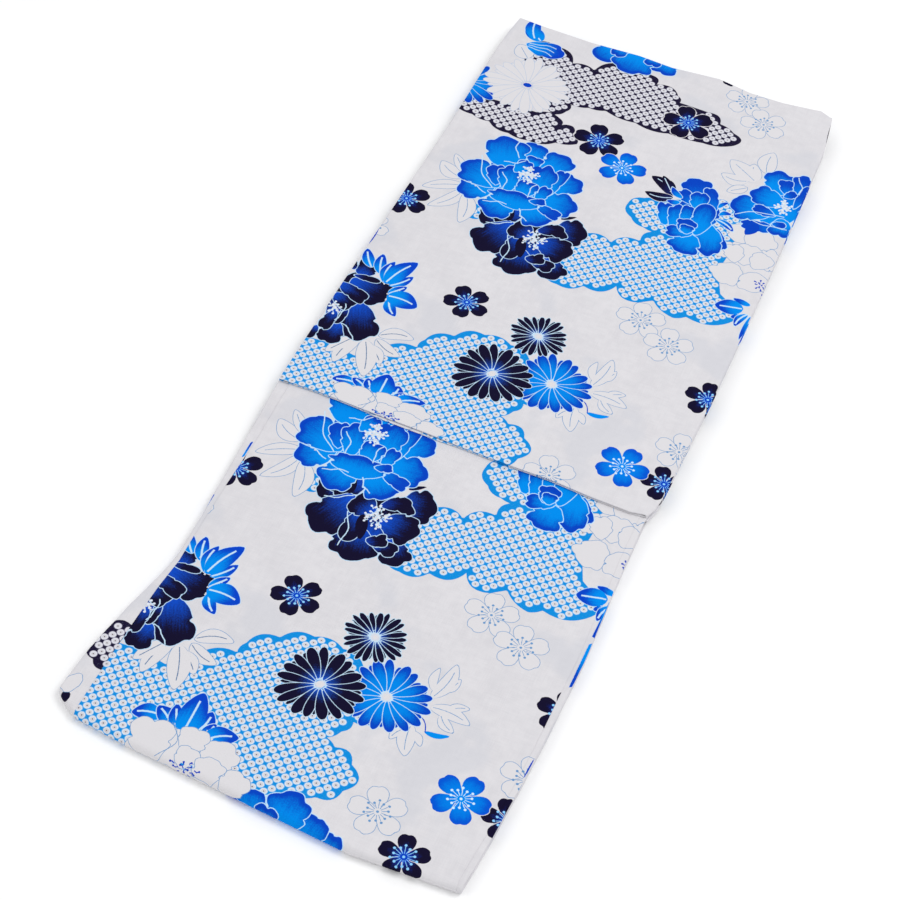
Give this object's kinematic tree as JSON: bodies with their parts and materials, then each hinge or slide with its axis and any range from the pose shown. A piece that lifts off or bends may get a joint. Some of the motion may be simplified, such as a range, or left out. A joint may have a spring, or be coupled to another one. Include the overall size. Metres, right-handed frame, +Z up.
{
  "type": "cotton yukata robe",
  "caption": "Cotton yukata robe, folded the long way by its seams, then in two, and laid flat with its left back and left sleeve on top.",
  "frame": {"origin": "on the surface that the folded robe lies on, under the middle of its box", "axes": "+Y towards the shoulders, the end with the sleeve; +X towards the centre back; +Z up from the surface"},
  "size_m": [0.3196, 0.8652, 0.0141],
  "materials": {
    "printed_cotton": "matt plain-weave cotton with a blue and navy flower print",
    "inner_cotton": "matt plain-weave cotton, folded away inside"
  },
  "bodies": {
    "root": {"back_left": "printed_cotton", "front_left": "printed_cotton", "back_right": "printed_cotton", "sleeve_left": "printed_cotton", "sleeve_right": "printed_cotton", "hidden_layers": "inner_cotton"}
  },
  "joints": []
}
